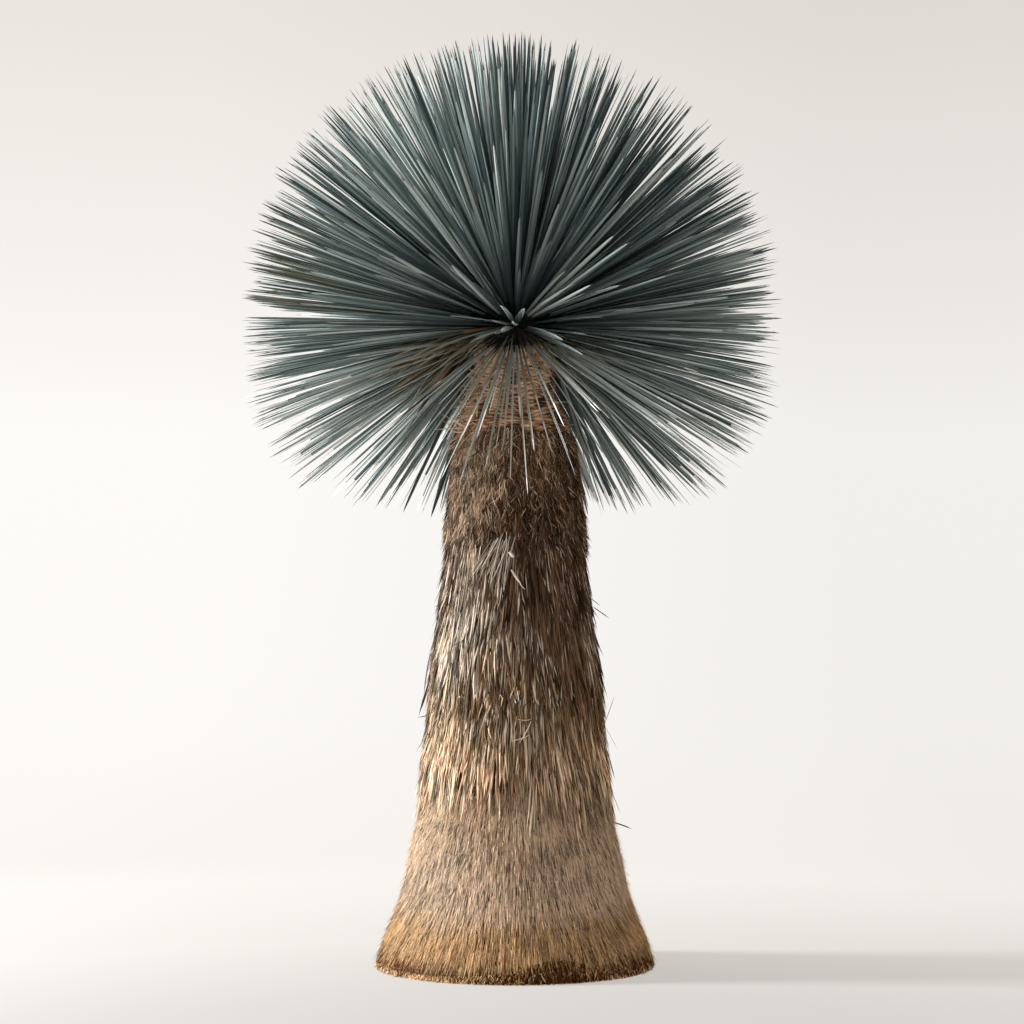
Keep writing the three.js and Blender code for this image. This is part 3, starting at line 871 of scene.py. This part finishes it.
def neck_ridges(turn, z):
    """Height, from 0 to 1, of the broken ridges between the leaf scars."""
    ring = (z / RING_PITCH + 1.2 * ripple(turn, z, 0.2, 53) + 0.5 * ripple(5 * turn, z, 0.04, 54)) % 1
    return (1 - np.abs(2 * ring - 1) ** 2) * np.clip(0.70 + 0.6 * ripple(4 * turn, z, 0.015, 55), 0, 1)


def make_trunk(material):
    """The stem from its flat cut to its growing tip, with leaf-scar rings on the neck above a dark groove;
    painted light makes the neck paler on the left, and painted shade darkens the head under the crown.
    """
    radius, height = trunk_rows()
    turn, z = np.meshgrid(np.arange(TRUNK_SIDES) / TRUNK_SIDES * TAU, height)
    rough = 0.002 * ripple(turn, z, 0.05, 51) + 0.0015 * ripple(9 * turn, z, 0.2, 52)
    ridge = neck_ridges(turn, z)
    edge = z + 0.014 * ripple(turn, z, 0.5, 56) + 0.008 * ripple(4 * turn, z, 0.5, 57)
    above_thatch = smoothstep(edge, 1.165, 1.195)
    in_crown = smoothstep(z, 1.35, 1.385)
    on_neck = above_thatch * (1 - in_crown)
    out = radius[:, None] + rough - BED_DEPTH * (1 - above_thatch) + on_neck * RING_RELIEF * (ridge - 0.5)
    bottom = np.arange(TRUNK_SIDES)[::-1][None, :]
    top = (np.arange(TRUNK_SIDES) + (len(height) - 1) * TRUNK_SIDES)[None, :]
    faces = [ring_quads(len(height), TRUNK_SIDES), bottom, top]
    points = around(out, turn, z).reshape(-1, 3)
    mesh = new_mesh("trunk_bark", points, faces, [np.zeros(len(part)) for part in faces], [material])
    # Paleness on the neck: paler ridges and darker between them, partly leaf scars and partly painted shade,
    # and paler on the left, painted light. The bed is paler at the foot, where less shade shows in its gaps,
    # and painted shade darkens the head under the crown.
    paleness_and_shade = on_neck * (0.31 + 0.60 * ridge + 0.40 * ripple(2 * turn, z, 0.06, 58) - 0.12 * np.cos(turn))
    paleness_and_shade = paleness_and_shade + 0.25 * (1 - smoothstep(z, 0.3, 0.42)) - 0.6 * in_crown
    pale = mesh.attributes.new("paleness_and_shade", "FLOAT", "POINT")
    pale.data.foreach_set("value", paleness_and_shade.astype(np.float32).ravel())
    mesh.shade_smooth()
    add_piece(mesh, ["trunk"])


def add_loose(name, place_strips, seed, materials):
    """Adds a piece of loose dry strips: each leaves its start along a heading and bends as it goes."""
    rng = np.random.default_rng(seed)
    start, heading, length, bend, width, tint = place_strips(rng)
    t = np.append(COARSE, 1.0)[None, :, None]
    course = heading[:, None, :] * t + bend[:, None, :] * t**2
    lines = start[:, None, :] + length[:, None, None] * course
    tilt = rng.normal(0, 0.7, len(start))
    add_strips(name, lines, tilt, strip_widths(width, COARSE), tint, materials)


def hem_fibres(rng):
    """The matted rim of the foot: short fibres every way, close to the ground, in dark and pale stretches;
    the dark is red-brown, most in front, and partly painted shade on the right and along the ground.
    """
    count = HEM_FIBRES
    in_front = rng.random(count) < 0.4
    azimuth = np.where(in_front, rng.normal(FRONT + 0.22, 0.42, count), rng.uniform(0, TAU, count))
    # Dark red-brown, most in front; painted shade makes more of the rim dark on the right, away from the
    # light
    dark_and_shade = 0.34 + 0.30 * np.cos(azimuth) + 0.6 * hump(from_front(azimuth - 0.18), 0, 0.42)
    dark_and_shade = dark_and_shade + 0.12 * ripple(azimuth, 0, 1, 34)
    z = 0.006 + (0.008 + 0.044 * np.clip(dark_and_shade, 0, 1) ** 3) * rng.random(count)
    start = around(thatch_radius(z) + rng.uniform(-0.004, 0.004, count), azimuth, z)
    outward, along = out_and_along(azimuth)
    heading = unit(0.7 * rng.normal(0, 1, count)[:, None] * along + 0.15 * outward - UP)
    bend = rng.normal(0, 0.2, (count, 3)) - 0.1 * outward
    length = rng.uniform(0.008, 0.024, count)
    zone = np.where(rng.random(count) < dark_and_shade, ZONE["hem"], ZONE["straw"])
    tint = tint_numbers(zone, rng.random(count) < 0.7, rng.normal(-0.2, 1.0, count))
    width = rng.uniform(0.0006, 0.0013, count)
    return start, heading, length, bend, width, tint


def fringe_fibres(rng):
    """Frayed fibres and dark splinters that stand off the neck, the remains of old leaf bases; more splinters
    are dark in the groove under the neck and on the right, painted shade.
    """
    curled = np.repeat([False, True], [FRINGE_FIBRES, FRINGE_CURLS])  # all round, and pale curls on the left
    count = len(curled)
    z = np.where(curled, rng.uniform(1.17, 1.31, count), 1.140 + 0.17 * rng.random(count) ** 2)
    azimuth = np.where(curled, rng.normal(math.pi + 0.25, 0.30, count), rng.uniform(0, TAU, count))
    # Painted shade: more of the splinters are dark in the groove under the neck and on the right
    in_groove = hump(z, 1.172, 0.012) * np.minimum(np.abs(azimuth - FRONT - TAU), 0.5) / 0.5
    dark_and_shade = ~curled & (rng.random(count) < 0.35 + 0.15 * np.cos(azimuth) + 0.5 * in_groove)
    outward, along = out_and_along(azimuth)
    swing = rng.normal(0, 1.2, count)[:, None]
    rise = np.where(rng.random(count) < 0.45, -2.0, rng.normal(-0.1, 0.5, count))[:, None]
    heading = unit(0.40 * outward + swing * along + rise * UP)
    bend = rng.normal(0, 1, (count, 3)) * np.where(curled, 0.8, 0.4)[:, None]
    bend = bend * np.where(dark_and_shade, 0.35, 1.0)[:, None]
    length = rng.uniform(0.010, 0.034, count)
    start = around(thatch_radius(z) - 0.003, azimuth, z)
    tone = np.where(dark_and_shade, -2, rng.normal(0.3, 0.9, count) + 1.2 * curled)
    tint = tint_numbers(ZONE["rust"], ~curled & (rng.random(count) < 0.6), tone)
    width = rng.uniform(0.0004, 0.0009, count) * np.where(curled, 1.8, 1.0)
    return start, heading, length, bend, width, tint


def tangle_fibres(rng):
    """Curled grey fibres, pale and dark, that lie in a tangle on the upper tier; the pale ones are more often
    on the left, painted light.
    """
    count = TANGLE_FIBRES
    z = rng.normal(1.085, 0.030, count)
    azimuth = rng.uniform(0, TAU, count)
    outward, along = out_and_along(azimuth)
    heading = unit(0.08 * outward + rng.normal(0, 0.28, count)[:, None] * along - UP)
    bend = rng.normal(0, 0.45, count)[:, None] * along - 0.08 * outward
    length = rng.uniform(0.014, 0.044, count)
    start = around(thatch_radius(z) + rng.uniform(-0.002, 0.003, count), azimuth, z)
    zone = np.where(rng.random(count) < 0.6, ZONE["ash"], ZONE["brown"])
    # Paler fibres more often on the left: painted light on the lit side
    weathered = rng.random(count) < 0.30 - 0.45 * np.cos(azimuth)
    tone = np.where(rng.random(count) < 0.5, -2.0, rng.normal(0.5, 0.8, count))
    tint = tint_numbers(zone, ~weathered, tone)
    width = rng.uniform(0.0004, 0.0010, count)
    return start, heading, length, bend, width, tint


def dead_leaves(rng):
    """Short, dry leaves under the crown, with a mat of broader ones on the left and a shelf on the right."""
    group = np.repeat([0, 1, 2], DEAD_LEAVES)
    count = len(group)
    ranges = [  # for each group, of the angle, the azimuth, the length and the half width
        ((97, 116), (0, TAU), (0.10, 0.25), (0.0014, 0.0032)),
        ((95, 119), (FRONT - 1.30, FRONT - 0.50), (0.15, 0.29), (0.0026, 0.0048)),
        ((97, 101), (FRONT + 0.95, FRONT + 1.10), (0.17, 0.23), (0.0020, 0.0036)),
    ]
    low, high = np.array(ranges)[group].transpose(2, 1, 0)
    angle, azimuth, length, width = low + (high - low) * rng.random((4, count))
    radius, z = head_outline(angle, LEAF_ROOT_OFFSET)
    heading = headings(angle, azimuth)
    start = around(radius, azimuth, z)
    kept = ~covers_neck(start, start + heading * length[:, None])
    bend = rng.normal(0, 0.08, (count, 3)) + np.array([0, 0, -0.10])
    olive, rust = ZONE["olive"], ZONE["rust"]
    zone = np.where((group == 2) | (rng.random(count) < 0.12), rust, olive)
    # The mat on the left is a little lighter, painted light where it shows under the crown, and its darkest
    # leaves stand in for the shaded holes in it
    tone = 1.3 * rng.normal(0, 1, count) + np.array([-0.2, 0.3, 0.0])[group]
    tint = tint_numbers(zone, zone == rust, tone)
    return [part[kept] for part in (start, heading, length, bend, width, tint)]


def stray_strips(rng):
    """Loose strips that stand off the thatch at the front and at the back."""
    count = STRAYS
    z = rng.uniform(0.20, 1.05, count)
    azimuth = np.where(rng.random(count) < 0.5, FRONT, -FRONT) + rng.uniform(-1.1, 1.1, count)
    outward, along = out_and_along(azimuth)
    heading = 0.30 * outward + rng.normal(0, 0.25, count)[:, None] * along
    heading = unit(heading + rng.uniform(-1.0, -0.4, count)[:, None] * UP)
    bend = rng.normal(0, 0.14, (count, 3))
    length = rng.uniform(0.03, 0.07, count)
    width = rng.uniform(0.0008, 0.0022, count)
    tint = zone_tints(("beige", "tan", "ash", "umber"), z, azimuth, rng.normal(-0.4, 1.0, count), rng)
    start = around(thatch_radius(z) - 0.002, azimuth, z)
    return start, heading, length, bend, width, tint


def on_front(places, lift):
    """Points on the front of the thatch, lifted off it, for places of x and z."""
    x, z = np.array(places).T
    return np.stack([x, -np.sqrt((thatch_radius(z) + lift) ** 2 - x**2), z], axis=-1)


def seen_strips(rng):
    """The single strips that the photo shows: at the sides, as pale curls and as a fan on the front."""
    side_start = np.array([(x, -0.02, z) for x, z, _, _, _ in SIDE_STRAYS])
    side_end = np.array([(x, -0.03, z) for _, _, x, z, _ in SIDE_STRAYS])
    curl_start = on_front([row[:2] for row in FRONT_CURLS], 0.012)
    curl_end = on_front([row[2:4] for row in FRONT_CURLS], 0.016)
    spread = np.linspace(0, 1, TUFT_STRIPS)[:, None] + rng.normal(0, 0.02, (TUFT_STRIPS, 1))
    tuft_start, tuft_end = (
        np.array(first) + (np.array(last) - np.array(first)) * spread + rng.normal(0, 0.007, (TUFT_STRIPS, 2))
        for first, last in (TUFT_ROOT, TUFT_ENDS)
    )
    start = np.concatenate([side_start, curl_start, on_front(tuft_start, 0.008)])
    chord = np.concatenate([side_end, curl_end, on_front(tuft_end, 0.011)]) - start
    count = len(start)
    group = np.repeat([0, 1, 2], [len(SIDE_STRAYS), len(FRONT_CURLS), TUFT_STRIPS])
    length = np.linalg.norm(chord, axis=1)
    bend = np.array([0.05, 0.22, 0.04])[group][:, None] * rng.normal(0, 1, (count, 3))
    widths = [row[-1] for row in SIDE_STRAYS + FRONT_CURLS]
    width = np.concatenate([widths, rng.uniform(0.0006, 0.0016, TUFT_STRIPS)])
    zone = np.where(start[:, 0] < -0.14, ZONE["tan"], ZONE["ash"])
    tone = np.array([0.0, 3.0, 0.1])[group] + rng.normal(0, 0.7, count)
    tint = tint_numbers(zone, group == 0, tone)
    return start, unit(chord), length, bend, width, tint


def make_lappet(materials):
    """Long, dark strips of the middle tier that hang over the tier below, at the front."""
    rng = np.random.default_rng(306)
    count = LAPPET_STRIPS
    azimuth = rng.normal(FRONT + 0.10, 0.24, count)
    root_z = rng.uniform(0.60, 0.68, count)
    end_z = 0.60 - 0.22 * rng.random(count) ** 1.4 * hump(azimuth - FRONT, 0.10, 0.34)
    end_azimuth = azimuth + rng.normal(0, 0.05, count)
    lift = 0.010 * rng.random(count)
    lines = hanging_lines(THATCH_TIERS[2], azimuth, end_azimuth, root_z, end_z, lift, np.zeros(count), rng)
    half_width = strip_widths(rng.uniform(0.0012, 0.0030, count), COARSE)
    zone = np.where(rng.random(count) < 0.5, ZONE["ash"], ZONE["tan"])
    tint = tint_numbers(zone, rng.random(count) < 0.6, rng.normal(0.0, 1.1, count))
    add_strips("thatch_lappet", lines, rng.normal(0, 0.6, count), half_width, tint, materials)


def make_studio():
    """A pale round floor that sweeps up into a wall on all sides."""
    bend = np.linspace(0, math.pi / 2, 16)
    wall = STUDIO_FLOOR + STUDIO_BEND
    radius = np.concatenate([[2.0, 4.0], STUDIO_FLOOR + STUDIO_BEND * np.sin(bend), [wall]])
    z = np.concatenate([[0, 0], STUDIO_BEND * (1 - np.cos(bend)), [STUDIO_HEIGHT]])
    turn, radius = np.meshgrid(np.arange(STUDIO_SIDES) / STUDIO_SIDES * TAU, radius)
    points = around(radius, turn, z[:, None]).reshape(-1, 3)
    quads = ring_quads(len(z), STUDIO_SIDES)[:, [0, 3, 2, 1]]  # facing inward
    faces = [quads, np.arange(STUDIO_SIDES)[None, :]]
    mesh = new_mesh("studio", points, faces, [np.zeros(len(part)) for part in faces], [paper_material()])
    mesh.shade_smooth()
    studio = add_object("studio", mesh)


def paper_material():
    """Pale paper that takes the plant's shadow near it, and further off only glows."""
    material, tree, shader = blank_material("studio_paper")
    material.cycles.emission_sampling = "NONE"
    place = new_node(tree, "TexCoord", {}, "Object")
    flat = new_node(tree, "VectorMath", {0: place, 1: (1, 1, 0)}, "Vector", "MULTIPLY")
    distance = new_node(tree, "VectorMath", {0: flat, 1: GLOW_CENTRE}, "Value", "DISTANCE")
    near = ranged(tree, distance, PAPER_FADE, (PAPER_SHADE, 0))
    glow, strength = paper_glow(tree, place, distance)
    set_inputs(tree, shader, {"Base Color": near, "Roughness": 0.9, "Specular IOR Level": 0})
    set_inputs(tree, shader, {"Emission Color": glow, "Emission Strength": strength})
    return material


def paper_glow(tree, place, distance):
    """Colour and strength of the paper's glow, light painted into it that is least near its centre and most
    on the left.
    """
    split = tree.nodes.new("ShaderNodeSeparateXYZ")
    set_inputs(tree, split, {"Vector": place})
    furthest = STUDIO_GLOW[-1][0]
    steps = [
        (reach / furthest, (level, level * (1 - 0.45 * warmth), level * (1 - warmth), 1))
        for reach, level, warmth in STUDIO_GLOW
    ]
    along = new_node(tree, "Math", {0: distance, 1: split.outputs["Z"]}, "Value", "ADD")
    glow = ramped(tree, ranged(tree, along, (0, furthest), (0, 1)), steps)
    across = ranged(tree, split.outputs["X"], (-1.6, 1.6), GLOW_SIDES)
    behind = ranged(tree, split.outputs["Y"], (-9, -3), (GLOW_FRONT, 1))
    return glow, new_node(tree, "Math", {0: across, 1: behind}, "Value", "MULTIPLY")


def make_lights():
    """A dim, even fill and a soft, square key light from the left."""
    world = bpy.data.worlds.new("studio_fill")
    world.use_nodes = True
    fill = {"Color": FILL_COLOUR, "Strength": FILL_LEVEL}
    set_inputs(world.node_tree, world.node_tree.nodes["Background"], fill)
    bpy.context.scene.world = world
    data = bpy.data.lights.new("key_light", "AREA")
    data.size = KEY_SIZE
    data.energy = KEY_POWER
    key = add_object("key_light", data)
    key.location = KEY_PLACE
    aim = np.array(KEY_TARGET) - np.array(KEY_PLACE)
    tip_back = math.acos(-aim[2] / np.linalg.norm(aim))
    key.rotation_euler = (tip_back, 0, math.atan2(aim[1], aim[0]) - math.pi / 2)
    bpy.context.scene.view_settings.view_transform = "Standard"


def make_camera():
    """A level camera in front of the plant, at the height of its middle."""
    data = bpy.data.cameras.new("camera")
    data.lens = CAMERA_LENS
    data.sensor_width = 36
    camera = add_object("camera", data)
    camera.location = CAMERA_PLACE
    camera.rotation_euler = (math.pi / 2, 0, 0)
    bpy.context.scene.camera = camera


LOOSE_PIECES = [  # name, the function that places its strips, and seed
    ("foot_hem", hem_fibres, 301),
    ("neck_fringe", fringe_fibres, 302),
    ("thatch_tangle", tangle_fibres, 307),
    ("dead_leaves", dead_leaves, 303),
    ("stray_strips", stray_strips, 304),
    ("seen_strips", seen_strips, 305),
]

make_camera()
make_studio()
make_lights()
make_trunk(bark_material())
dry_materials = thatch_materials()
pit_places = thatch_pits()
for tier_number, thatch_tier in enumerate(THATCH_TIERS):
    make_thatch(thatch_tier, tier_number, dry_materials, pit_places)
for piece_name, place_strips, piece_seed in LOOSE_PIECES:
    add_loose(piece_name, place_strips, piece_seed, dry_materials)
make_lappet(dry_materials)
green_materials = leaf_materials()
for band_number, leaf_band in enumerate(LEAF_BANDS):
    make_leaves(band_number, *leaf_band, green_materials)
make_hanging_leaves(green_materials)
make_facing_leaves(green_materials)
